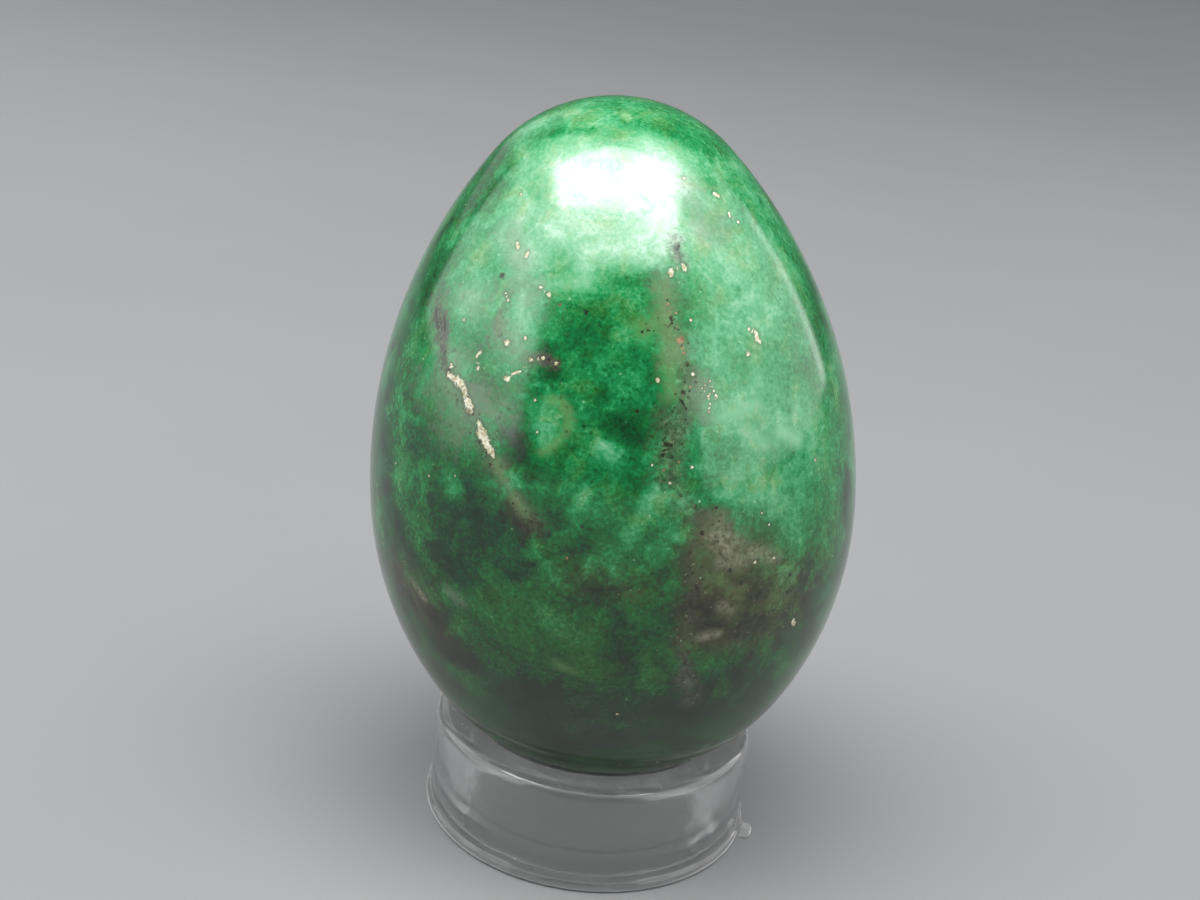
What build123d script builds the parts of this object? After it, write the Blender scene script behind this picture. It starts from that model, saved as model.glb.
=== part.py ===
# A solid polished stone egg that rests, blunt end down, in a clear moulded ring stand.
# Millimetres, +Z up. The origin is the middle of the ring's foot, on the surface that it stands on.

from build123d import *
import os
from math import acos, atan2, cos, degrees, radians, sin, sqrt

# Egg: four tangent arcs turned about the long axis
egg_length = 52.0
egg_width = 36.8
egg_tip_radius = 11.5
egg_blunt_inset = 1.6  # the blunt end's radius is this much less than half the width
egg_blunt_drop = 5.5  # from the widest section down to the centre of the blunt end's sphere
egg_lean = 6.0  # degrees, tip towards -X: the loose egg has settled a little askew

# Ring stand
ring_bore = 19.0
ring_wall = 3.2
ring_height = 8.5
ring_draft = 0.05  # the outside narrows by this much, on the radius, from foot to rim
rim_round = 1.0  # outer top edge
seat_round = 0.8  # inner top edge, which carries the egg
base_round = 0.3  # inner bottom edge
seat_clearance = 0.1  # between the egg and its seat

# Half-round bead round the foot of the ring
bead_height = 1.0
bead_swell = 0.3  # how far it stands out from the wall
bead_blend = 0.2  # hollow round between bead and wall

# Gate stub that moulding left on the bead
stub_length = 1.1  # out from the bead
stub_width = 1.2
stub_inset = 0.05  # it stops this far short of the bead's top and bottom
stub_round = 0.25
stub_bearing = -11.5  # degrees from +X, towards the front

# Egg's profile, measured from the centre of the blunt end's sphere
half_width = egg_width / 2
blunt_radius = half_width - egg_blunt_inset
tip_rise = egg_length - blunt_radius - egg_blunt_drop - egg_tip_radius  # widest section to tip's centre


def flank_radius(end_radius, rise):
    """Radius of the arc that is upright at the widest section and runs smoothly into an end's arc."""
    return (half_width**2 + rise**2 - end_radius**2) / (2 * (half_width - end_radius))


lower_flank = flank_radius(blunt_radius, egg_blunt_drop)
upper_flank = flank_radius(egg_tip_radius, tip_rise)
blunt_join = degrees(atan2(egg_blunt_drop, lower_flank - half_width))  # angle where flank and end meet
tip_join = degrees(atan2(tip_rise, upper_flank - half_width))

# Seat: the blunt end's sphere lies against the round of the bore's top edge, whatever the lean
bore_radius = ring_bore / 2
centre_distance = blunt_radius + seat_clearance + seat_round
blunt_centre = ring_height - seat_round + sqrt(centre_distance**2 - (bore_radius + seat_round) ** 2)

# Stone egg: half-section in a leaning plane, turned about that plane's long axis
lean = radians(egg_lean)
egg_plane = Plane((0, 0, blunt_centre), x_dir=(cos(lean), 0, sin(lean)), z_dir=(0, -1, 0))
with BuildPart() as stone_egg:
    with BuildSketch(egg_plane):
        with BuildLine():
            blunt_end = CenterArc((0, 0), blunt_radius, -90, 90 - blunt_join)
            CenterArc((half_width - lower_flank, egg_blunt_drop), lower_flank, -blunt_join, blunt_join)
            CenterArc((half_width - upper_flank, egg_blunt_drop), upper_flank, 0, tip_join)
            tip_end = CenterArc((0, egg_blunt_drop + tip_rise), egg_tip_radius, tip_join, 90 - tip_join)
            Line(tip_end @ 1, blunt_end @ 0)
        make_face()
    revolve(axis=Axis(egg_plane.origin, egg_plane.y_dir))

# Ring stand: half-section with the foot bead, turned about Z
foot_radius = bore_radius + ring_wall
bead_radius = bead_height / 2
bead_centre = foot_radius + bead_swell - bead_radius
bead_meet = degrees(acos((foot_radius - bead_centre) / bead_radius))  # where the bead runs into the wall
bearing = radians(stub_bearing)
outward = Vector(cos(bearing), sin(bearing), 0)
stub_plane = Plane(outward * bead_centre, x_dir=(-sin(bearing), cos(bearing), 0), z_dir=outward)
with BuildPart() as ring_stand:
    with BuildSketch(Plane.XZ) as section:
        with BuildLine():
            base = Line((bore_radius, 0), (bead_centre, 0))
            bead = CenterArc((bead_centre, bead_radius), bead_radius, -90, 90 + bead_meet)
            wall = Line(bead @ 1, (foot_radius - ring_draft, ring_height))
            land = Line(wall @ 1, (bore_radius, ring_height))
            Line(land @ 1, base @ 0)
        make_face()
        rounds = [
            (land @ 1, seat_round),
            (land @ 0, rim_round),
            (base @ 0, base_round),
            (bead @ 1, bead_blend),
        ]
        for corner, radius in rounds:
            fillet(section.vertices().sort_by_distance(corner)[0], radius)
    revolve(axis=Axis.Z)
    with BuildSketch(stub_plane):
        with Locations((0, bead_radius)):
            Rectangle(stub_width, bead_height - 2 * stub_inset)
    extrude(amount=bead_radius + stub_length)
    stub_end = ring_stand.faces().sort_by(Axis((0, 0, 0), outward))[-1]
    fillet(stub_end.edges(), stub_round)

stone_egg.part.label = "stone_egg"
ring_stand.part.label = "ring_stand"
os.makedirs("parts", exist_ok=True)
export_step(stone_egg.part, "parts/stone_egg.step")
export_step(ring_stand.part, "parts/ring_stand.step")

egg_box = stone_egg.part.bounding_box()
print("egg stands from", round(egg_box.min.Z, 2), "to", round(egg_box.max.Z, 2))
print("flank radii", round(lower_flank, 2), round(upper_flank, 2))
print("angles of the joins", round(blunt_join, 1), round(tip_join, 1))
print("gap at the seat", round(stone_egg.part.distance_to(ring_stand.part), 4))
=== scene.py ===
# %% [markdown]
# # A polished stone egg in its clear ring
# The object is two loose pieces: a green stone egg, ground and polished to a high gloss, and the short
# clear plastic ring that keeps it from rolling away. The CAD model fixes where both of them are. This
# lesson models them again as smooth meshes in the same place, and then spends most of its effort on the
# stone, because the stone is what one looks at.

# %% Load the frame
import bpy
import numpy as np
from math import acos, atan2, cos, degrees, pi, radians, sin
from mathutils import Matrix, Vector


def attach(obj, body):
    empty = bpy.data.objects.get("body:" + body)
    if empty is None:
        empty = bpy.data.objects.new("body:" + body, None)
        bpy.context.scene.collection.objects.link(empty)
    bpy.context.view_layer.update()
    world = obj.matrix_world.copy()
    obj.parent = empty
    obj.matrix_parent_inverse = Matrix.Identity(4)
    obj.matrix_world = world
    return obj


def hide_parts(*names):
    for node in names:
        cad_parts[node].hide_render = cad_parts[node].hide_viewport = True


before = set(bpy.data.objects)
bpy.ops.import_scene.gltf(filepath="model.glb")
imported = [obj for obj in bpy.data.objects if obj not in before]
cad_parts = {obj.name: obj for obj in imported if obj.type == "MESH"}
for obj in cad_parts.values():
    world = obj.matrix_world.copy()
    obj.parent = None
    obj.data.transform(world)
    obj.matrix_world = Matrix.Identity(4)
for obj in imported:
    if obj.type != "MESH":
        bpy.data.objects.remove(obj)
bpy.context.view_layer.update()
scene = bpy.context.scene
scene.view_settings.view_transform = "Standard"
mm = 0.001  # the scene is in metres, and the sizes of the object are easier to read in millimetres


# %% [markdown]
# ## Camera
# The picture was taken from close by, a hand's width away and a little from above, with the camera tilted
# to one side. Three angles describe that: pitch, yaw and roll. From them come three unit vectors, and a
# camera in Blender looks along its own -Z with +Y up, so these vectors are simply the columns of its
# matrix.

# %% Camera
eye = Vector((0, -113.68, 73.68)) * mm
pitch = radians(20.731)
yaw = radians(-0.943)
roll = radians(6.384)
lens = 48.0
sensor = 36.0
nearest_shown = 5.0 * mm
egg_middle = Vector((0, 0, 31.5)) * mm

forward = Vector((sin(yaw) * cos(pitch), cos(yaw) * cos(pitch), -sin(pitch)))
level = Vector((cos(yaw), -sin(yaw), 0))
upright = level.cross(forward)
right = level * cos(roll) + upright * sin(roll)
up = upright * cos(roll) - level * sin(roll)
turn_of_camera = Matrix((right, up, -forward)).transposed()

bpy.ops.object.camera_add(location=eye, rotation=turn_of_camera.to_euler())
camera = bpy.context.object
camera.data.lens = lens
camera.data.sensor_width = sensor
camera.data.clip_start = nearest_shown
scene.camera = camera
print("camera", round((eye - egg_middle).length / mm, 1), "mm from the egg's middle")

# %% [markdown]
# A point of the picture is a direction in space. This small helper turns a pixel of the picture into that
# direction. Later it puts each vein and fleck of the stone where it belongs: a line of sight is followed
# until it meets the egg.

# %% From a pixel to a line of sight
picture_width = 1200
picture_height = 900
picture_middle = (picture_width / 2, picture_height / 2)
pixels_per_unit = picture_width * lens / sensor


def sight_line(x, y):
    """Direction from the camera through a pixel of the picture."""
    sideways = (x - picture_middle[0]) / pixels_per_unit
    upwards = (picture_middle[1] - y) / pixels_per_unit
    return (forward + right * sideways + up * upwards).normalized()


print("the middle of the picture looks along", [round(c, 3) for c in sight_line(*picture_middle)])

# %% [markdown]
# ## Floor
# The egg stands on a plain matt surface. It is wide enough to fill the picture and to run to the horizon
# in low views. A faint, broad unevenness in its tone keeps it from looking like a flat sheet of colour.
# Far out, where less of the lamps' light falls, its colour gets paler to make up for that.

# %% Nodes in one line
def colour(red, green, blue):
    """A colour as a painter picks it, 0 to 255, made linear for the shader."""
    shares = [c / 255 for c in (red, green, blue)]
    return tuple(c / 12.92 if c < 0.04 else ((c + 0.055) / 1.055) ** 2.4 for c in shares) + (1.0,)


def node(tree, kind, inputs=None, **settings):
    """Adds a node. An input is given a value, or the socket that feeds it."""
    made = tree.nodes.new("ShaderNode" + kind)
    for name, value in settings.items():
        setattr(made, name, value)
    for name, value in (inputs or {}).items():
        if isinstance(value, bpy.types.NodeSocket):
            tree.links.new(value, made.inputs[name])
        else:
            made.inputs[name].default_value = value
    return made


def empty_finish(name):
    """A new material with its Principled shader."""
    finish = bpy.data.materials.new(name)
    finish.use_nodes = True
    return finish, finish.node_tree, finish.node_tree.nodes["Principled BSDF"]


print("a middle grey of 188 is", round(colour(188, 188, 188)[0], 3), "in the shader")

# %% Noise, mixing and arithmetic
def noise(tree, where, size, detail=4.0, roughness=0.55):
    """Cloudy noise whose clouds are about that many millimetres across."""
    inputs = {"Vector": where, "Scale": 1 / (size * mm), "Detail": detail, "Roughness": roughness}
    return node(tree, "TexNoise", inputs).outputs["Fac"]


def mixed(tree, share, under, over):
    """Two colours, mixed by a share from 0 to 1."""
    return node(tree, "Mix", {0: share, 6: under, 7: over}, data_type="RGBA").outputs[2]


def sums(tree, operation, *terms):
    """One step of arithmetic between sockets and numbers."""
    return node(tree, "Math", dict(enumerate(terms)), operation=operation).outputs[0]


def vector_sums(tree, operation, *terms):
    """One step of arithmetic between vectors. A length or a distance comes out as a number."""
    made = node(tree, "VectorMath", dict(enumerate(terms)), operation=operation)
    return made.outputs["Value" if operation in ("LENGTH", "DISTANCE") else "Vector"]


def step(tree, value, low, high, start=0.0, end=1.0):
    """A soft step: start below low, end above high."""
    inputs = {0: value, 1: low, 2: high, 3: start, 4: end}
    return node(tree, "MapRange", inputs, interpolation_type="SMOOTHSTEP").outputs[0]


print("helpers:", [helper.__name__ for helper in (noise, mixed, sums, vector_sums, step)])

# %% Floor
floor_size = 8.0
near_by = 0.50  # metres from the egg, where the floor begins to get paler
far_out = 2.00  # and where it is at its palest

bpy.ops.object.select_all(action="DESELECT")
bpy.ops.mesh.primitive_plane_add(size=floor_size)
floor = bpy.context.object
floor.name = "floor"
floor_paint, tree, shader = empty_finish("matt_floor")
place = node(tree, "TexCoord").outputs["Object"]
unevenness = noise(tree, place, 90.0, detail=3.0)
near_colour = mixed(tree, unevenness, colour(136, 137, 139), colour(144, 145, 146))
distance = vector_sums(tree, "LENGTH", place)
far_share = step(tree, distance, near_by, far_out)
floor_colour = mixed(tree, far_share, near_colour, colour(232, 233, 234))
tree.links.new(floor_colour, shader.inputs["Base Color"])
shader.inputs["Roughness"].default_value = 0.6
shader.inputs["Specular IOR Level"].default_value = 0.2
floor.data.materials.append(floor_paint)
print("floor of", floor.dimensions.x, "m")

# %% [markdown]
# ## Light
# A polished stone is mostly seen by what it mirrors. A wide lamp overhead, under a dim ceiling, gives the
# white highlight near the tip, and two tall soft panels, left and right, lay a milky veil over the
# flanks. Between them the camera's side stays darker, so that a column of deep green is left in the
# middle. Behind the egg, a dim panel on the left and a narrow strip on the right light up its edges. The
# world fills the shadows with a little grey.

# %% Lamps
def soft_panel(name, middle, towards, width, height, radiance):
    """A rectangular lamp at a place, turned to face another, as bright as a white card of that radiance."""
    bpy.ops.object.light_add(type="AREA", location=middle)
    lamp = bpy.context.object
    lamp.name = name
    facing = Vector(towards) - Vector(middle)
    lamp.rotation_euler = facing.to_track_quat("-Z", "Y").to_euler()
    lamp.data.shape = "RECTANGLE"
    lamp.data.size = width
    lamp.data.size_y = height
    lamp.data.energy = radiance * pi * width * height
    lamp.visible_camera = False
    return lamp


over_egg = (-0.10, -0.18, 0.93)
under_lamp = (-0.10, -0.18, 0)
soft_panel("ceiling", (0, -0.265, 0.95), (0, -0.265, 0), width=1.80, height=1.03, radiance=0.95)
overhead = soft_panel("overhead_lamp", over_egg, under_lamp, width=1.30, height=0.52, radiance=7.2)
overhead.data.shape = "ELLIPSE"
overhead.data.energy *= pi / 4  # an ellipse has this share of its rectangle's area
soft_panel("left_wall", (-0.90, -0.22, 0.49), (0, -0.22, 0.49), width=1.49, height=0.84, radiance=1.4)
soft_panel("left_end", (-0.72, 0.95, 0.60), (0, 0, 0.10), width=0.80, height=0.80, radiance=0.5)
soft_panel("right_wall", (0.90, -0.12, 0.485), (0, -0.12, 0.485), width=1.69, height=0.85, radiance=1.4)
soft_panel("right_strip", (0.88, 0.66, 0.35), (0, 0.10, 0.35), width=0.12, height=0.60, radiance=1.5)

# %% World
dim_grey = (0.15, 0.15, 0.153, 1)
world = bpy.data.worlds.new("room")
scene.world = world
world.use_nodes = True
room = world.node_tree.nodes["Background"]
room.inputs["Color"].default_value = dim_grey
room.inputs["Strength"].default_value = 1.0
print("the room is a grey of", dim_grey[0])

# %% [markdown]
# ## Egg
# An egg's outline is four arcs that run smoothly into each other: a ball at the blunt end, two long flank
# arcs that meet at the widest place, and a smaller ball at the tip. By hand one would draw half of the
# outline and spin it. Here a single point starts at the blunt end, and Spin carries it round the centre
# of each arc in turn. A Screw modifier turns the half outline once round, like a lathe, and the upright
# egg is then leaned over a little, because the loose egg has settled askew in its ring. The radii are
# 0.01 mm less than the CAD model's, so that this finer mesh stays inside the CAD model's box.

# %% Sizes of the egg
half_width = 18.39
blunt_radius = 16.79
blunt_drop = 5.5  # from the widest place down to the centre of the blunt end's ball
tip_radius = 11.49
tip_rise = 18.2  # from the widest place up to the centre of the tip's ball
blunt_height = 22.094  # of the blunt ball's centre over the floor
lean = radians(6.0)


def flank_radius(end_radius, rise):
    """Radius of a flank arc that is upright at the widest place and runs smoothly into an end's arc."""
    return (half_width**2 + rise**2 - end_radius**2) / (2 * (half_width - end_radius))


lower_flank = flank_radius(blunt_radius, blunt_drop)
upper_flank = flank_radius(tip_radius, tip_rise)
blunt_join = atan2(blunt_drop, lower_flank - half_width)
tip_join = atan2(tip_rise, upper_flank - half_width)
print("flank radii", round(lower_flank, 2), round(upper_flank, 2), "mm")

# %% A point to start from
def in_section(across, along):
    """A point of the upright egg's half section, measured from the blunt ball's centre, in metres."""
    return Vector((across, 0, along)) * mm


def single_point(name, place):
    """A mesh of one vertex, left selected in edit mode: a small plane, merged at its middle."""
    bpy.ops.object.select_all(action="DESELECT")
    bpy.ops.mesh.primitive_plane_add(size=mm, location=place)
    piece = bpy.context.object
    piece.name = name
    bpy.ops.object.transform_apply(location=True)
    bpy.ops.object.mode_set(mode="EDIT")
    bpy.ops.mesh.select_all(action="SELECT")
    bpy.ops.mesh.merge(type="CENTER")
    return piece


egg = single_point("polished_egg", in_section(0, -blunt_radius))
print("the outline starts", blunt_radius, "mm under the blunt ball's centre")

# %% Four arcs
# Centre, angle and number of edges of each arc
arcs = [
    ((0, 0), pi / 2 - blunt_join, 40),
    ((half_width - lower_flank, blunt_drop), blunt_join, 52),
    ((half_width - upper_flank, blunt_drop), tip_join, 104),
    ((0, blunt_drop + tip_rise), pi / 2 - tip_join, 40),
]
for centre, angle, steps in arcs:
    bpy.ops.mesh.spin(steps=steps, angle=angle, center=in_section(*centre), axis=(0, 1, 0))
bpy.ops.object.mode_set(mode="OBJECT")
print("half outline of", len(egg.data.vertices), "points")

# %% One full turn, and the lean
egg_steps = 400  # faces in one full turn
weld = 1e-6  # metres; points that are closer together than this are one


def lathe(piece, steps):
    """Turns a half section once round Z, closes seam and poles, and points the faces outwards."""
    turning = piece.modifiers.new("turning", "SCREW")
    turning.steps = turning.render_steps = steps
    turning.use_merge_vertices = True
    turning.merge_threshold = weld
    bpy.ops.object.modifier_apply(modifier=turning.name)
    bpy.ops.object.mode_set(mode="EDIT")
    bpy.ops.mesh.select_all(action="SELECT")
    bpy.ops.mesh.remove_doubles(threshold=weld)
    bpy.ops.mesh.normals_make_consistent(inside=False)
    bpy.ops.object.mode_set(mode="OBJECT")


lathe(egg, egg_steps)
egg.location = (0, 0, blunt_height * mm)
egg.rotation_euler = (0, -lean, 0)
bpy.ops.object.transform_apply(location=True, rotation=True)
bpy.ops.object.shade_smooth()
egg_axis = Vector((-sin(lean), 0, cos(lean)))
egg_origin = Vector((0, 0, blunt_height))
print("egg:", len(egg.data.vertices), "vertices,", len(egg.data.polygons), "faces")

# %% [markdown]
# ## Marks in the stone
# The stone's veins, patches and flecks are not random: they are listed one by one. Each kind is a list
# of strokes. A stroke has a half width in millimetres and a few pixels of the picture that it runs
# through. For every vertex of the egg, `nearness` measures how far the nearest stroke of a kind is, in
# half widths, and stores it on the mesh. The shader then cuts that smooth field with fine noise, which
# gives ragged natural edges at any closeness. No picture shows the far side, so the same kinds of marks
# go round there, turned about the egg's axis by a few angles in degrees.

# %% Which vertices the picture shows
edge_on = -0.04  # a vertex that faces away by this little still counts as the rim of the picture
edge_fade = 0.12  # with this much more it counts in full


def read_vectors(layer):
    """One vector per vertex of the egg, as an array."""
    values = np.empty(len(egg.data.vertices) * 3)
    egg.data.vertices.foreach_get(layer, values)
    return values.reshape(-1, 3)


egg_points = read_vectors("co") / mm
to_eye = np.array(eye) / mm - egg_points
facing = (read_vectors("normal") * to_eye).sum(axis=1) / np.linalg.norm(to_eye, axis=1)
seen = np.clip((facing - edge_on) / edge_fade, 0, 1)
print("the picture shows", int((facing > 0).sum()), "of the egg's vertices")

# %% From a stroke in the picture to a line on the stone
nowhere = 99.0  # millimetres, further off than any mark
no_length = 1e-9  # keeps a single dot from being divided by zero


def on_stone(x, y):
    """The point of the egg that a pixel of the picture shows, in millimetres."""
    found, place = egg.ray_cast(eye, sight_line(x, y))[:2]
    if not found:
        raise ValueError(f"pixel {x}, {y} misses the egg")
    return np.array(place) / mm


def turned(line, angle):
    """A line's points, turned about the egg's axis."""
    turn = np.array(Matrix.Rotation(radians(-angle), 3, egg_axis))
    return (np.array(line) - egg_origin) @ turn.T + egg_origin


def nearest_on(line):
    """For every vertex, how far away a line is and which point of it is the nearest."""
    best = np.full(len(egg_points), nowhere)
    places = np.zeros_like(egg_points)
    for start, end in zip(line, line[1:] if len(line) > 1 else line):
        run = end - start
        share = np.clip((egg_points - start) @ run / max(run @ run, no_length), 0, 1)
        spots = start + share[:, None] * run
        gaps = np.linalg.norm(egg_points - spots, axis=1)
        nearer = gaps < best
        best[nearer] = gaps[nearer]
        places[nearer] = spots[nearer]
    return best, places


print("the picture's middle is", [round(c, 1) for c in on_stone(*picture_middle)], "mm on the stone")

# %% How near every vertex is to the strokes of one kind
far_off = 9.0  # half widths
out_of_sight = 6.0  # half widths that are added to a turned stroke where the picture shows the stone


def nearness(kind, strokes, turns):
    """Stores each vertex's distance to the nearest stroke, in half widths.

    Turned strokes stay out of the picture.
    """
    nearest = np.full(len(egg_points), far_off)
    for half, pixels in strokes:
        line = [on_stone(x, y) for x, y in pixels]
        for angle in turns:
            gaps = nearest_on(turned(line, angle))[0]
            hidden = out_of_sight * seen if angle else 0
            nearest = np.minimum(nearest, gaps / half + hidden)
    stored = egg.data.attributes.new(kind, "FLOAT", "POINT")
    stored.data.foreach_set("value", nearest.astype(np.float32))
    print(kind, len(strokes), "strokes,", int((nearest < 1).sum()), "vertices inside")


face_width = 2 * pi * half_width / egg_steps
print("vertices lie about", round(face_width, 2), "mm apart")

# %% Dark tones
deep_greens = [
    (2.6, [(380, 400), (382, 490), (396, 560)]),
    (2.2, [(425, 450), (438, 510), (446, 545)]),
    (1.8, [(468, 480), (500, 532)]),
    (0.9, [(847, 480), (845, 560)]),
    (0.5, [(545, 350), (552, 374)]),
    (0.5, [(703, 520), (692, 560), (698, 600), (682, 640)]),
    (1.2, [(425, 625), (462, 660)]),
]
dark_greens = [
    (2.4, [(620, 612), (702, 642)]),
    (2.0, [(565, 578), (632, 600)]),
    (2.0, [(780, 650), (722, 688)]),
    (2.4, [(540, 715), (680, 712)]),
    (0.9, [(650, 122), (692, 138), (722, 156)]),
    (1.0, [(462, 209), (493, 211)]),
    (0.9, [(437, 246), (447, 262)]),
    (0.9, [(486, 180), (496, 194)]),
    (0.5, [(500, 152), (512, 168)]),
    (0.4, [(545, 134), (588, 130)]),
    (1.2, [(815, 590), (806, 640)]),
    (1.6, [(398, 345), (395, 380)]),
    (1.2, [(530, 495), (545, 520)]),
    (0.9, [(520, 450), (530, 478)]),
    (1.2, [(486, 394), (498, 412)]),
    (1.2, [(700, 485), (704, 515)]),
    (0.8, [(714, 446), (722, 462)]),
    (0.5, [(672, 130), (704, 148)]),
    (0.4, [(620, 282), (652, 278)]),
    (0.5, [(596, 408), (612, 428), (632, 436)]),
]
nearness("deep_green", deep_greens, turns=(0, 140, 235))
nearness("dark_green", dark_greens, turns=(0, 140, 235))

# %% Milky tones with a painted veil, and a painted highlight
# partly the stone's own milky clouds, partly a painted reflection: the milky veil that the side panels and
# the ceiling lay over the flanks and the top
milky_stone_and_painted_veil_strokes = [
    (1.3, [(470, 300), (522, 270)]),
    (0.7, [(548, 286), (580, 284)]),
    (1.4, [(448, 372), (478, 432)]),
    (3.0, [(720, 250), (762, 322)]),
    (3.0, [(738, 398), (800, 440)]),
    (1.8, [(740, 478), (790, 496)]),
    (2.0, [(690, 190), (730, 215)]),
    (3.2, [(550, 150), (615, 116), (680, 160)]),
    (2.4, [(505, 215), (490, 245)]),
    (0.8, [(548, 410), (542, 440)]),
    (1.0, [(675, 350), (705, 345)]),
    (1.6, [(734, 170), (762, 205), (788, 260)]),
    (2.0, [(690, 140), (715, 165)]),
    (1.5, [(522, 172), (508, 208), (486, 244)]),
    (2.4, [(715, 250), (740, 285), (722, 345)]),
    (2.0, [(540, 124), (580, 112)]),
    (1.8, [(740, 240), (752, 262)]),
    (1.6, [(500, 240), (522, 262)]),
    (1.2, [(525, 290), (515, 340)]),
    (0.7, [(603, 446), (609, 451)]),
    (0.5, [(656, 490), (644, 516), (626, 538)]),
    (0.4, [(586, 492), (574, 514)]),
]
# painted highlight: pale stone painted under the lamp's highlight near the tip and just below it, which
# whitens the highlight and gives it a glow
painted_highlight_strokes = [
    (2.6, [(565, 222), (620, 234), (656, 228)]),
    (2.4, [(580, 182), (615, 190), (652, 182)]),
    (1.6, [(588, 246), (640, 248)]),
    (1.5, [(566, 200), (600, 208), (640, 206)]),
]
nearness("milky_stone_and_painted_veil", milky_stone_and_painted_veil_strokes, turns=(0, 120, 240))
nearness("painted_highlight", painted_highlight_strokes, turns=(0, 120, 240))

# %% Dusty veins, smudges and haze
dusty_veins = [
    (0.9, [(664, 285), (674, 322), (684, 372), (690, 400), (680, 425), (668, 455), (676, 485), (700, 520)]),
    (0.6, [(700, 520), (692, 560), (698, 592), (682, 640), (690, 700)]),
    (0.7, [(440, 312), (444, 345), (452, 378), (474, 420), (492, 458), (512, 492), (532, 522)]),
    (0.5, [(505, 300), (495, 336)]),
    (0.5, [(675, 242), (680, 262)]),
    (0.3, [(532, 356), (556, 364)]),
]
purple_smudges = [
    (0.32, [(436, 313), (439, 342)]),
    (0.32, [(445, 315), (446, 345)]),
    (0.42, [(441, 325), (444, 350), (446, 370)]),
    (0.20, [(676, 246), (678, 256)]),
    (0.18, [(541, 358), (557, 363)]),
    (0.50, [(505, 432), (520, 446)]),
]
grey_hazes = [
    (1.8, [(440, 380), (455, 415)]),
    (1.4, [(470, 400), (495, 412)]),
    (1.4, [(690, 200), (712, 226)]),
    (1.2, [(500, 325), (518, 350)]),
    (0.8, [(700, 385), (708, 412)]),
    (0.9, [(508, 232), (524, 262)]),
    (0.4, [(446, 590), (460, 600)]),
    (1.2, [(520, 290), (538, 306)]),
    (1.3, [(462, 296), (480, 310)]),
    (1.0, [(442, 345), (458, 362)]),
]
nearness("dusty_vein", dusty_veins, turns=(0, 150))
nearness("purple_smudge", purple_smudges, turns=(0, 130, 215))
nearness("grey_haze", grey_hazes, turns=(0, 110, 180, 250))

# %% Brown and granular patches
brown_patches = [
    (1.9, [(735, 592), (785, 596)]),
    (1.5, [(722, 600), (740, 622), (775, 618)]),
    (1.0, [(770, 575), (800, 574)]),
    (1.1, [(785, 596), (804, 598)]),
    (1.3, [(578, 580), (630, 592)]),
    (0.8, [(400, 582), (428, 612)]),
    (0.6, [(510, 512), (532, 532)]),
    (1.2, [(438, 628), (460, 652)]),
]
brown_stains = [
    (3.2, [(735, 575), (775, 605)]),
    (2.0, [(712, 545), (716, 605)]),
    (1.6, [(400, 575), (425, 610)]),
    (1.2, [(690, 640), (740, 635)]),
]
granular_patches = [
    (1.0, [(716, 533), (730, 545)]),
    (0.6, [(724, 560), (740, 562)]),
    (0.5, [(752, 552), (775, 558)]),
    (0.3, [(698, 638), (718, 634)]),
    (0.4, [(723, 606), (731, 611)]),
    (0.3, [(412, 580), (424, 598)]),
]
nearness("brown_patch", brown_patches, turns=(0, 165, 250))
nearness("brown_stain", brown_stains, turns=(0, 165, 250))
nearness("granular_patch", granular_patches, turns=(0, 165, 250))

# %% Wisps
olive_wisps = [
    (0.24, [(550, 399), (561, 402), (570, 414), (569, 426), (560, 438), (549, 449), (541, 453)]),
    (0.30, [(495, 462), (510, 490), (524, 512)]),
    (0.30, [(556, 664), (574, 672)]),
    (0.6, [(664, 292), (668, 330), (674, 354)]),
    (0.6, [(644, 330), (660, 318)]),
    (0.4, [(668, 366), (672, 392)]),
]
mint_wisps = [
    (0.40, [(720, 418), (738, 412), (757, 404)]),
    (0.38, [(780, 432), (790, 437), (799, 443)]),
    (0.40, [(742, 428), (765, 446)]),
]
nearness("olive_wisp", olive_wisps, turns=(0, 100, 170, 260))
nearness("mint_wisp", mint_wisps, turns=(0, 100, 170, 260))

# %% [markdown]
# Flecks are smaller than the faces of the mesh, so a stored distance would be too coarse for them. For
# these the vertices store where the nearest fleck is, and how wide it is. That is the same for all
# vertices around one fleck, so the shader can measure its own distance from there and draw a fleck far
# finer than the mesh.

# %% Where the nearest fleck is
far_side_start = 95
far_side_span = 170
first_stride = 67
second_stride = 113
chain_turns = (0, 170)


def scattered_turns(order):
    """Two turns to the far side that differ from fleck to fleck."""
    first = far_side_start + first_stride * order % far_side_span
    second = far_side_start + second_stride * order % far_side_span
    return (0, first, second)


def in_picture(line):
    """Whether the picture shows any point of a line on the stone."""
    return any(seen[np.linalg.norm(egg_points - spot, axis=1).argmin()] > 0 for spot in line)


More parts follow.
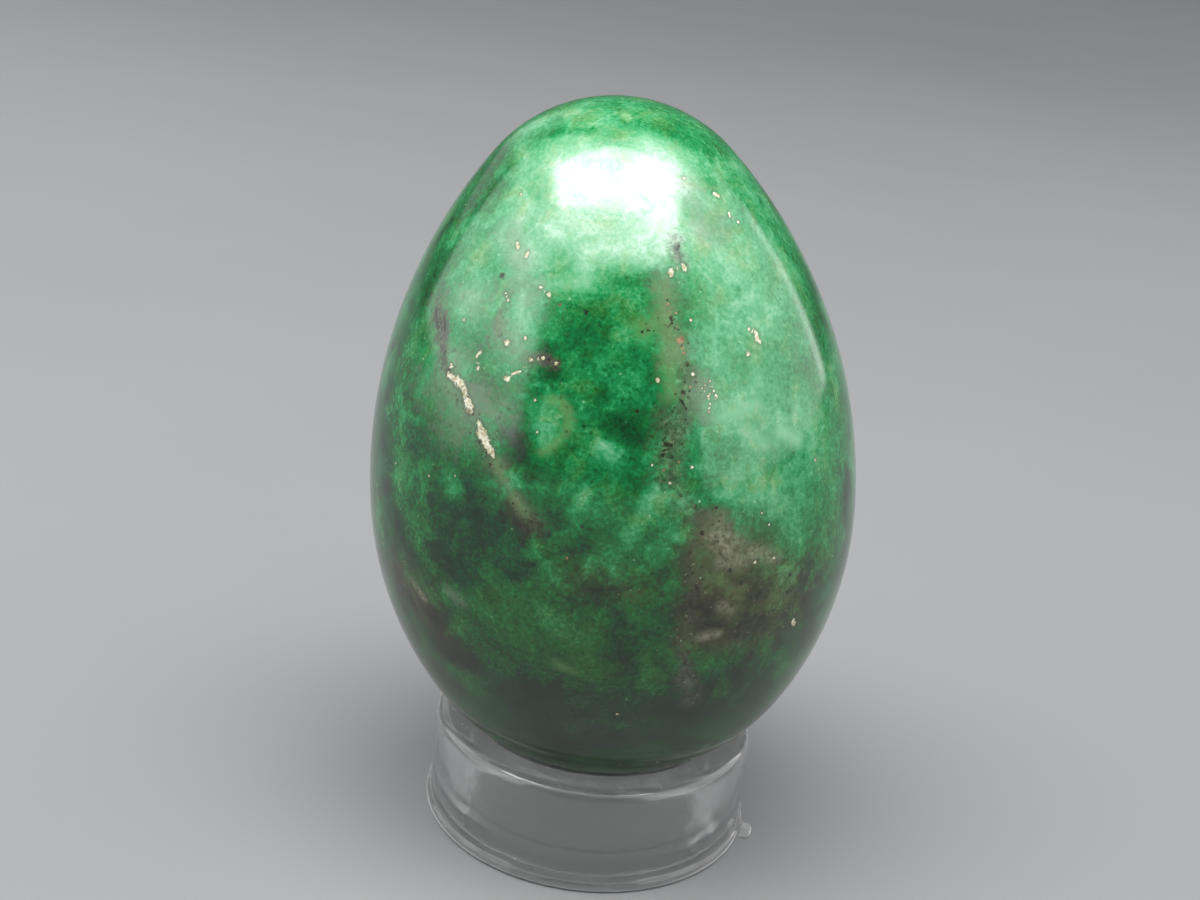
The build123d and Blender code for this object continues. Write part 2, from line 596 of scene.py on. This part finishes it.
def nearest_marks(kind, strokes, chain=()):
    """Stores the nearest point of the nearest small mark, its half width and the gap to its edge.

    The marks of a chain stay together when they are turned.
    """
    nearest = np.full(len(egg_points), nowhere)
    places = np.zeros_like(egg_points)
    halves = np.ones(len(egg_points))
    kept = 0
    all_turns = [chain_turns] * len(chain) + [scattered_turns(order) for order in range(len(strokes))]
    for (half, pixels), turns in zip(list(chain) + strokes, all_turns):
        line = [on_stone(x, y) for x, y in pixels]
        for angle in turns:
            copy = turned(line, angle)
            if angle and in_picture(copy):
                continue
            gaps, spots = nearest_on(copy)
            nearer = gaps - half < nearest
            nearest[nearer] = (gaps - half)[nearer]
            places[nearer] = spots[nearer]
            halves[nearer] = half
            kept += 1
    stored = egg.data.attributes.new(kind, "FLOAT_VECTOR", "POINT")
    stored.data.foreach_set("vector", (places * mm).astype(np.float32).ravel())
    for suffix, values in (("_width", halves), ("_gap", nearest)):
        numbers = egg.data.attributes.new(kind + suffix, "FLOAT", "POINT")
        numbers.data.foreach_set("value", values.astype(np.float32))
    print(kind, kept, "marks all round")


small_fleck = 0.1
print("a fleck of", small_fleck, "mm is", round(small_fleck / face_width, 2), "of a face wide")

# %% Chain of flakes, and cream flecks
flake_chain = [
    (0.20, [(449, 375), (455, 379)]),
    (0.30, [(457, 380), (461, 384)]),
    (0.20, [(463, 386), (465, 392)]),
    (0.28, [(467, 401), (470, 409)]),
    (0.18, [(479, 423), (480, 428)]),
    (0.34, [(481, 432), (485, 441)]),
    (0.26, [(486, 443), (490, 450)]),
    (0.14, [(490, 451), (493, 456)]),
    (0.10, [(451, 364), (452, 367)]),
]
cream_flecks = [
    (0.20, [(507, 343)]),
    (0.19, [(507, 379)]),
    (0.08, [(512, 374), (521, 371)]),
    (0.11, [(517, 243), (518, 248)]),
    (0.10, [(528, 252), (526, 257)]),
    (0.11, [(541, 287)]),
    (0.15, [(549, 295)]),
    (0.10, [(508, 300)]),
    (0.08, [(506, 293)]),
    (0.09, [(464, 320)]),
    (0.10, [(481, 351), (477, 356)]),
    (0.12, [(478, 368)]),
    (0.09, [(535, 400)]),
    (0.13, [(531, 360)]),
    (0.12, [(525, 338)]),
    (0.15, [(671, 270), (671, 275)]),
    (0.17, [(684, 266), (685, 269)]),
    (0.14, [(714, 193), (718, 196)]),
    (0.09, [(729, 213), (730, 217)]),
    (0.11, [(738, 222)]),
    (0.17, [(756, 333), (757, 339)]),
    (0.12, [(758, 340), (760, 342)]),
    (0.12, [(749, 329)]),
    (0.14, [(748, 354)]),
    (0.07, [(710, 381)]),
    (0.05, [(702, 388)]),
    (0.08, [(714, 391)]),
    (0.08, [(708, 396)]),
    (0.06, [(717, 397)]),
    (0.07, [(710, 404)]),
    (0.08, [(709, 412)]),
    (0.13, [(693, 374)]),
    (0.14, [(658, 380)]),
    (0.10, [(692, 467)]),
    (0.08, [(652, 465)]),
    (0.10, [(670, 483)]),
    (0.10, [(815, 460)]),
    (0.09, [(762, 513)]),
    (0.09, [(769, 525)]),
    (0.11, [(755, 562)]),
    (0.10, [(774, 558)]),
    (0.17, [(793, 621), (794, 624)]),
    (0.09, [(617, 714)]),
    (0.09, [(521, 194)]),
    (0.11, [(684, 178)]),
    (0.09, [(537, 432)]),
    (0.09, [(691, 320)]),
    (0.12, [(543, 358)]),
    (0.11, [(556, 363)]),
    (0.07, [(429, 476)]),
    (0.05, [(396, 463)]),
    (0.05, [(433, 464)]),
    (0.06, [(455, 476)]),
]
nearest_marks("cream_fleck", cream_flecks, flake_chain)

# %% Dark dots and rusty spots
dark_dots = [
    (0.12, [(637, 411)]),
    (0.13, [(665, 444), (671, 445)]),
    (0.08, [(680, 399), (686, 408)]),
    (0.11, [(716, 508)]),
    (0.08, [(642, 332)]),
    (0.07, [(648, 330)]),
    (0.05, [(654, 331)]),
    (0.07, [(670, 317)]),
    (0.06, [(672, 323)]),
    (0.05, [(676, 315)]),
    (0.05, [(668, 327)]),
    (0.11, [(582, 527)]),
    (0.14, [(586, 312)]),
    (0.22, [(502, 276)]),
    (0.11, [(540, 359)]),
    (0.12, [(663, 455)]),
    (0.16, [(730, 570)]),
    (0.14, [(760, 592)]),
    (0.16, [(787, 592)]),
    (0.14, [(755, 615)]),
    (0.16, [(720, 626)]),
    (0.14, [(790, 575)]),
    (0.12, [(774, 610)]),
    (0.12, [(741, 583)]),
    (0.10, [(436, 314), (438, 328)]),
    (0.10, [(445, 318), (445, 330)]),
]
rusty_spots = [
    (0.24, [(680, 340)]),
    (0.10, [(567, 558)]),
    (0.10, [(560, 305)]),
    (0.10, [(668, 304)]),
    (0.09, [(676, 313)]),
    (0.11, [(684, 353)]),
    (0.10, [(690, 387)]),
    (0.09, [(664, 470)]),
    (0.09, [(679, 462)]),
]
nearest_marks("dark_dot", dark_dots)
nearest_marks("rusty_spot", rusty_spots)

# %% [markdown]
# ## Stone
# The green is a solid mass of fine flaky crystals: emerald where it is pure, milky where it is full of
# fine cracks, and nearly black where it is dense. Clouds, mottle and grain are three sizes of noise, the
# larger two pushed out of shape by a fourth, and together they make one tone. The broad strokes lift or
# lower it, and among them is painted light: a milky veil painted where the side panels and the ceiling
# are mirrored, and a pale patch painted under the highlight near the tip. Fine crystals and a faint web
# of cracks are added, and two colour ramps turn the tone, from 0 to 1, into greens, a bluish and a
# yellowish set. Low down the stone is darker, partly its own darker base and partly painted shade of the
# underside, and it is also calmer and yellower.

# %% Tone of the green
bend_size = 5.0 * mm  # of the noise that pushes the others out of shape
bend_reach = 5.0 * mm
calmer_below = 0.20
darker_and_shaded_below = 0.27
stone, tree, shader = empty_finish("polished_green_stone")
place = node(tree, "TexCoord").outputs["Object"]


def swing(value, amount):
    """Noise that swings about zero by roughly that amount."""
    return sums(tree, "MULTIPLY_ADD", value, 4 * amount, -2 * amount)


def weakened(value, share, amount):
    """A value, less that amount of itself where a share is 1."""
    return sums(tree, "MULTIPLY", value, sums(tree, "MULTIPLY_ADD", share, -amount, 1.0))


drift = node(tree, "TexNoise", {"Vector": place, "Scale": 1 / bend_size, "Detail": 5.0}).outputs["Color"]
centred = vector_sums(tree, "SUBTRACT", drift, (0.5, 0.5, 0.5))
pushed = vector_sums(tree, "MULTIPLY", centred, (bend_reach, bend_reach, bend_reach))
warped = vector_sums(tree, "ADD", place, pushed)
clouds = noise(tree, warped, 6.0, detail=5.0, roughness=0.5)
mottle = noise(tree, warped, 2.5, detail=6.0, roughness=0.60)
grain = noise(tree, place, 0.42, detail=4.0, roughness=0.72)
height = node(tree, "SeparateXYZ", {0: place}).outputs["Z"]
low_down = step(tree, height, 13 * mm, 33 * mm, 1.0, 0.0)
tone = sums(tree, "ADD", swing(clouds, 0.13), swing(mottle, 0.20))
tone = sums(tree, "ADD", tone, swing(grain, 0.06))
tone = weakened(tone, low_down, calmer_below)
# darker low down: partly the stone's own darker base, partly painted shade of the egg's underside
tone = sums(tree, "MULTIPLY_ADD", low_down, -darker_and_shaded_below, tone)
print("the tone of the green is made of", len(tree.nodes), "nodes")

# %% Broad strokes lift and lower the tone
calmer_painted_highlight = 1.7
middle_tone = 0.50
ragged = sums(tree, "ADD", swing(mottle, 0.7), swing(clouds, 0.5))


def marks(kind):
    """One of the fields that were stored on the egg."""
    return node(tree, "Attribute", attribute_name=kind).outputs["Fac"]


def share_of(kind, raggedness, inner, outer, most):
    """Where a kind of mark shows: most up to inner half widths, nothing beyond outer, ragged between."""
    edge = sums(tree, "ADD", marks(kind), raggedness)
    return step(tree, edge, inner, outer, most, 0.0)


def soft_share(kind, most):
    """Where a broad stroke shows: most in its middle, fading out ragged beyond its edge."""
    return share_of(kind, ragged, -0.2, 2.2, most)


# painted highlight: inside it the noise is calmed, so the painted glow stays smooth
painted_highlight_share = soft_share("painted_highlight", 0.40)
tone = weakened(tone, painted_highlight_share, calmer_painted_highlight)
tone = sums(tree, "SUBTRACT", tone, soft_share("deep_green", 0.24))
tone = sums(tree, "SUBTRACT", tone, soft_share("dark_green", 0.15))
# milky stone, together with the painted veil of the mirrored panels
tone = sums(tree, "ADD", tone, soft_share("milky_stone_and_painted_veil", 0.22))
tone = sums(tree, "ADD", tone, painted_highlight_share)
tone = sums(tree, "ADD", tone, middle_tone)
print("with the strokes it is", len(tree.nodes), "nodes")

# %% Fine crystals and a web of cracks
web_width = 0.05
web_lift = 0.045
crystals = noise(tree, place, 0.30, detail=3.0, roughness=0.75)
crystal_share = step(tree, tone, 0.45, 0.85, 1.0, 0.3)
crystal_swing = sums(tree, "MULTIPLY", swing(crystals, 0.15), crystal_share)
tone = sums(tree, "ADD", tone, crystal_swing)
web = noise(tree, warped, 3.4, detail=4.0, roughness=0.6)
off_line = sums(tree, "ABSOLUTE", sums(tree, "SUBTRACT", web, 0.5))
tone = sums(tree, "ADD", tone, step(tree, off_line, 0.0, web_width, web_lift, 0.0))
print("with crystals and cracks it is", len(tree.nodes), "nodes")

# %% Two sets of greens
def ramp(driver, *stops):
    """A colour ramp along a tone or a noise. Each stop is a value and its colour."""
    made = node(tree, "ValToRGB", {0: driver})
    elements = made.color_ramp.elements
    elements[0].position, elements[0].color = stops[0]
    elements[1].position, elements[1].color = stops[-1]
    for position, paint in stops[1:-1]:
        elements.new(position).color = paint
    return made.outputs["Color"]


# the palest stops are where the painted highlight lands, and they are made paler for its glow
bluish = ramp(
    tone,
    (0.02, colour(1, 32, 15)),
    (0.18, colour(2, 56, 26)),
    (0.34, colour(3, 84, 38)),
    (0.48, colour(8, 112, 54)),
    (0.60, colour(30, 138, 76)),
    (0.72, colour(78, 164, 110)),
    (0.85, colour(130, 190, 148)),
    (1.00, colour(200, 229, 209)),
)
yellowish = ramp(
    tone,
    (0.02, colour(6, 32, 10)),
    (0.18, colour(12, 54, 16)),
    (0.34, colour(24, 82, 24)),
    (0.48, colour(38, 106, 42)),
    (0.60, colour(66, 132, 66)),
    (0.72, colour(108, 158, 98)),
    (0.85, colour(148, 184, 134)),
    (1.00, colour(208, 223, 198)),
)
hue_drift = noise(tree, warped, 2.6, detail=7.0, roughness=0.74)
yellow_below = step(tree, height, 18 * mm, 36 * mm, 0.75, 0.0)
yellow_drift = step(tree, hue_drift, 0.48, 0.66, 0.0, 0.75)
yellowness = sums(tree, "ADD", yellow_below, yellow_drift)
body = mixed(tree, yellowness, bluish, yellowish)
print("with two sets of greens it is", len(tree.nodes), "nodes")

# %% Veins and patches over the green
ragged_both = sums(tree, "ADD", swing(mottle, 1.1), swing(grain, 0.9))

dust = ramp(grain, (0.32, colour(40, 42, 32)), (0.50, colour(84, 86, 68)), (0.68, colour(136, 136, 114)))
vein_share = share_of("dusty_vein", ragged_both, -0.3, 2.0, 0.64)
body = mixed(tree, vein_share, body, dust)

haze_share = share_of("grey_haze", ragged_both, -0.4, 2.0, 0.50)
body = mixed(tree, haze_share, body, colour(122, 142, 120))

stain = ramp(mottle, (0.34, colour(38, 38, 20)), (0.51, colour(66, 66, 40)), (0.68, colour(88, 88, 56)))
stain_share = share_of("brown_stain", ragged, 0.0, 2.0, 0.80)
body = mixed(tree, stain_share, body, stain)

earth = ramp(mottle, (0.36, colour(20, 16, 8)), (0.51, colour(50, 44, 23)), (0.66, colour(82, 74, 40)))
brown_share = share_of("brown_patch", ragged_both, -0.3, 2.0, 0.62)
body = mixed(tree, brown_share, body, earth)

smudge_share = share_of("purple_smudge", ragged_both, -0.4, 2.2, 0.64)
body = mixed(tree, smudge_share, body, colour(62, 54, 56))

gravel = ramp(
    grain,
    (0.36, colour(84, 88, 62)),
    (0.50, colour(136, 136, 108)),
    (0.64, colour(184, 180, 158)),
)
gravel_share = share_of("granular_patch", ragged_both, -0.6, 2.2, 0.70)
body = mixed(tree, gravel_share, body, gravel)
print("with veins and patches it is", len(tree.nodes), "nodes")

# %% Wisps over the green
ragged_fine = sums(tree, "ADD", ragged_both, swing(crystals, 0.8))
olive_share = share_of("olive_wisp", ragged_fine, -0.4, 2.2, 0.42)
body = mixed(tree, olive_share, body, colour(122, 156, 100))
mint_share = share_of("mint_wisp", ragged_fine, -0.9, 1.7, 0.54)
body = mixed(tree, mint_share, body, colour(150, 206, 166))
print("with wisps it is", len(tree.nodes), "nodes")

# %% Flecks and dots over everything
guard_start = 0.18  # millimetres from a mark's edge; further out the stored place may be another mark's
guard_end = 0.28
tiny = noise(tree, place, 0.16, detail=2.0, roughness=0.6)
fine = noise(tree, place, 0.28, detail=3.0, roughness=0.6)
jagged = sums(tree, "ADD", swing(tiny, 0.55), swing(fine, 0.45))


def fleck_share_of(kind, inner, outer, most=1.0):
    """Where small marks of a kind show, from the distance to the nearest one."""
    nearest = node(tree, "Attribute", attribute_name=kind).outputs["Vector"]
    gap = vector_sums(tree, "DISTANCE", place, nearest)
    width = sums(tree, "MULTIPLY", marks(kind + "_width"), mm)
    edge = sums(tree, "ADD", sums(tree, "DIVIDE", gap, width), jagged)
    close_by = step(tree, marks(kind + "_gap"), guard_start, guard_end, most, 0.0)
    return sums(tree, "MULTIPLY", close_by, step(tree, edge, inner, outer, 1.0, 0.0))


halo_share = fleck_share_of("cream_fleck", 0.9, 3.0, 0.40)
body = mixed(tree, halo_share, body, colour(60, 62, 42))
dot_share = fleck_share_of("dark_dot", 0.6, 1.5, 0.9)
body = mixed(tree, dot_share, body, colour(34, 28, 22))
rust = ramp(fine, (0.36, colour(96, 70, 48)), (0.48, colour(140, 104, 80)), (0.60, colour(178, 134, 108)))
rust_share = fleck_share_of("rusty_spot", 0.7, 1.3, 0.85)
body = mixed(tree, rust_share, body, rust)
cream = ramp(
    fine,
    (0.34, colour(158, 150, 112)),
    (0.48, colour(206, 200, 168)),
    (0.62, colour(236, 235, 216)),
)
fleck_share = fleck_share_of("cream_fleck", 0.75, 1.15)
body = mixed(tree, fleck_share, body, cream)
print("with flecks and dots it is", len(tree.nodes), "nodes")

# %% Crystal glints and grit
speck_raggedness = 0.16
speck_choice = 0.25  # over this range of chance a cell's speck goes from hidden to shown


def scattered(size, radius, rarity, most):
    """Round specks in cells of that many millimetres. The higher the rarity, the fewer cells show theirs."""
    cells = node(tree, "TexVoronoi", {"Vector": place, "Scale": 1 / (size * mm)})
    edge = sums(tree, "MULTIPLY_ADD", jagged, speck_raggedness, cells.outputs["Distance"])
    speck = step(tree, edge, radius / 2, radius, 1.0, 0.0)
    chance = node(tree, "SeparateColor", {0: cells.outputs["Color"]}).outputs[0]
    return sums(tree, "MULTIPLY", speck, step(tree, chance, rarity, rarity + speck_choice, 0.0, most))


glints = scattered(0.75, 0.10, 0.55, 0.75)
glints = sums(tree, "MULTIPLY", glints, step(tree, mottle, 0.42, 0.60, 0.1, 1.0))
glints = weakened(glints, low_down, 0.8)
body = mixed(tree, glints, body, colour(164, 206, 168))

dark_grains = scattered(0.55, 0.30, 0.40, 0.45)
dark_grains = sums(tree, "MULTIPLY", dark_grains, step(tree, tone, 0.45, 0.75, 1.0, 0.0))
body = mixed(tree, dark_grains, body, colour(4, 44, 18))

gritty = sums(tree, "MULTIPLY_ADD", vein_share, 1.6, sums(tree, "MULTIPLY", stain_share, 0.8))
grit = sums(tree, "MAXIMUM", scattered(0.42, 0.28, 0.30, 0.9), scattered(0.85, 0.26, 0.45, 0.9))
grit = sums(tree, "MULTIPLY", grit, gritty)
body = mixed(tree, grit, body, colour(40, 36, 20))
dust_specks = sums(tree, "MULTIPLY", scattered(0.50, 0.24, 0.50, 0.60), gritty)
body = mixed(tree, dust_specks, body, colour(132, 132, 100))
tree.links.new(body, shader.inputs["Base Color"])
print("the whole stone has", len(tree.nodes), "nodes")

# %% Polish
least_roughness = 0.09
grain_roughness = 0.10
dull_roughness = 0.18
polish = sums(tree, "MULTIPLY_ADD", grain, grain_roughness, least_roughness)
dull = sums(tree, "MAXIMUM", fleck_share, vein_share)
roughness = sums(tree, "MULTIPLY_ADD", dull, dull_roughness, polish)
tree.links.new(roughness, shader.inputs["Roughness"])
shader.inputs["IOR"].default_value = 1.62
egg.data.materials.append(stone)
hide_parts("stone_egg")
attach(egg, "egg")
print("the egg's finish is", egg.active_material.name)

# %% [markdown]
# ## Ring
# The stand is a short tube of clear plastic with a soft outer rim, a rounded seat for the egg, a thin
# bead round its foot and a small stub where the plastic was once fed into the mould. Its half section is
# drawn like the egg's: straight runs are extruded from a point and rounds are spun. The closed section is
# turned once round like the egg, and the stub is then pulled out of a few faces of the bead.

# %% Sizes of the ring
bore_radius = 9.5
outer_radius = 12.7
rim_radius = 12.65  # the outside narrows a little from foot to rim
ring_height = 8.5
seat_round = 0.8
rim_round = 1.0
base_round = 0.3
bead_radius = 0.5
bead_centre = 12.5
bead_top = degrees(acos((outer_radius - bead_centre) / bead_radius))  # where the bead meets the wall
blend_angle = 8  # the bead's round stops this much earlier, and a short slope leads over to the wall
blend_top = 1.16
print("the bead meets the wall", round(bead_top, 1), "degrees over its middle")

# %% Drawing in the section
def ring_point(radius, height):
    """A point of the ring's half section, in metres."""
    return Vector((radius, 0, height)) * mm


def run_to(pen, radius, height):
    """Extrudes the selected vertex from the pen's place to a new one, and returns that."""
    target = ring_point(radius, height)
    bpy.ops.mesh.extrude_region_move(TRANSFORM_OT_translate={"value": target - pen})
    return target


def round_about(pen, radius, height, angle, steps):
    """Spins the selected vertex from the pen's place round a centre, and returns where it ends."""
    centre = ring_point(radius, height)
    bpy.ops.mesh.spin(steps=steps, angle=radians(angle), center=centre, axis=(0, 1, 0))
    return centre + Matrix.Rotation(-radians(angle), 3, "Y") @ (pen - centre)


section_start = ring_point(bore_radius + base_round, 0)
ring = single_point("clear_ring", section_start)
print("the section starts", round(section_start.x / mm, 2), "mm from the axis")

# %% Section of the ring
wall_heights = (2.5, 4.0, 5.5, 7.0)
bore_heights = (6.0, 4.5, 3.0, 1.5)

pen = run_to(section_start, bead_centre, 0)
pen = round_about(pen, bead_centre, bead_radius, 90 + bead_top - blend_angle, steps=14)
pen = run_to(pen, outer_radius, blend_top)
for height in wall_heights:
    pen = run_to(pen, outer_radius + (rim_radius - outer_radius) * height / ring_height, height)
pen = run_to(pen, rim_radius, ring_height - rim_round)
pen = round_about(pen, rim_radius - rim_round, ring_height - rim_round, 90, steps=14)
pen = run_to(pen, bore_radius + seat_round, ring_height)
pen = round_about(pen, bore_radius + seat_round, ring_height - seat_round, 90, steps=12)
for height in bore_heights:
    pen = run_to(pen, bore_radius, height)
pen = run_to(pen, bore_radius, base_round)
pen = round_about(pen, bore_radius + base_round, base_round, 90, steps=6)
print("the section ends where it began, to", round((pen - section_start).length / mm, 4), "mm")

# %% One full turn of the ring
ring_steps = 288
bpy.ops.mesh.select_all(action="SELECT")
bpy.ops.mesh.remove_doubles(threshold=weld)
bpy.ops.object.mode_set(mode="OBJECT")
lathe(ring, ring_steps)
print("ring:", len(ring.data.polygons), "faces,", [round(d / mm, 2) for d in ring.dimensions], "mm")

# %% Stub on the foot
stub_half_width = 0.62
stub_top = 0.95
bead_front = bead_centre + 0.08  # faces further out than this are the front of the bead
stub_bearing = radians(-11.5)
stub_unevenness = 0.03 * mm
smooth_up_to = radians(40)
stub_pulls = [
    (0.42, (0, 0.94, 0.90)),  # the first pull also presses the bead's round flat
    (0.55, (1, 0.90, 0.86)),
    (0.18, (1, 0.66, 0.62)),
]

bpy.ops.object.mode_set(mode="EDIT")
bpy.ops.mesh.select_mode(type="FACE")
bpy.ops.mesh.select_all(action="DESELECT")
bpy.ops.object.mode_set(mode="OBJECT")
for face in ring.data.polygons:
    spot = face.center / mm
    face.select = spot.x > bead_front and abs(spot.y) < stub_half_width and spot.z < stub_top
bpy.ops.object.mode_set(mode="EDIT")
for reach, shrink in stub_pulls:
    bpy.ops.mesh.extrude_region_move(TRANSFORM_OT_translate={"value": (reach * mm, 0, 0)})
    bpy.ops.transform.resize(value=shrink)
bpy.ops.transform.vertex_random(offset=stub_unevenness, seed=4)
bpy.ops.object.mode_set(mode="OBJECT")
stub_reach = max(v.co.x for v in ring.data.vertices) / mm
ring.rotation_euler = (0, 0, stub_bearing)
bpy.ops.object.transform_apply(rotation=True)
bpy.ops.object.shade_smooth_by_angle(angle=smooth_up_to)
print("the stub reaches", round(stub_reach, 2), "mm from the middle")

# %% [markdown]
# ## Clear plastic
# Clear moulded plastic bends light like acrylic glass. It is never quite perfect: the wall is a little
# wavy from the mould, and handling has scuffed it, so the roughness and the bump carry faint, broad
# noise. Rim and foot carry a whitish sheen that is partly scuffed wear and partly a painted glow for the
# light that the plastic carries along its edges, the broken end of the stub is frosted, and a thin
# glossy coat keeps the glints sharp.

# %% Clear plastic
clear_plastic, tree, shader = empty_finish("clear_plastic")
shader.inputs["Base Color"].default_value = colour(246, 248, 247)
shader.inputs["IOR"].default_value = 1.49
shader.inputs["Transmission Weight"].default_value = 0.94
shader.inputs["Coat Weight"].default_value = 1.0
shader.inputs["Coat Roughness"].default_value = 0.05
print("clear plastic bends light with an index of", round(shader.inputs["IOR"].default_value, 2))

# %% Scuffs, worn edges and a painted glow
rim_roughness = 0.08
stub_roughness = 0.40
rim_glow = 1.6
foot_glow = 2.0
place = node(tree, "TexCoord").outputs["Object"]
height = node(tree, "SeparateXYZ", {0: place}).outputs["Z"]
from_axis = vector_sums(tree, "LENGTH", vector_sums(tree, "MULTIPLY", place, (1, 1, 0)))
rim_wear_and_glow = step(tree, height, 7.2 * mm, 8.4 * mm)
foot_wear_and_glow = step(tree, height, 0.8 * mm, 1.4 * mm, foot_glow, 0.0)
broken_off = step(tree, from_axis, 13.0 * mm, 13.4 * mm)
scuffs = noise(tree, place, 1.2, detail=6.0, roughness=0.7)
scuffed = step(tree, scuffs, 0.40, 0.70, 0.09, 0.20)
scuffed = sums(tree, "MULTIPLY_ADD", rim_wear_and_glow, rim_roughness, scuffed)
scuffed = sums(tree, "MULTIPLY_ADD", broken_off, stub_roughness, scuffed)
tree.links.new(scuffed, shader.inputs["Roughness"])
# sheen on rim and foot: partly scuffed wear, partly a painted glow that stands in for light carried inside
# the plastic along its edges
wear_and_glow = sums(tree, "MAXIMUM", foot_wear_and_glow, sums(tree, "MULTIPLY", rim_wear_and_glow, rim_glow))
wear_and_glow = sums(tree, "MULTIPLY_ADD", wear_and_glow, scuffs, broken_off)
tree.links.new(wear_and_glow, shader.inputs["Sheen Weight"])
print("scuffs and worn edges take", len(tree.nodes), "nodes")

# %% Waves of the mould
wave_depth = 0.4 * mm
waves = noise(tree, place, 4.5, detail=2.0)
bump = node(tree, "Bump", {"Height": waves, "Strength": 0.40, "Distance": wave_depth})
tree.links.new(bump.outputs["Normal"], shader.inputs["Normal"])
ring.data.materials.append(clear_plastic)
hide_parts("ring_stand")
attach(ring, "stand")
print("the ring's finish is", ring.active_material.name)
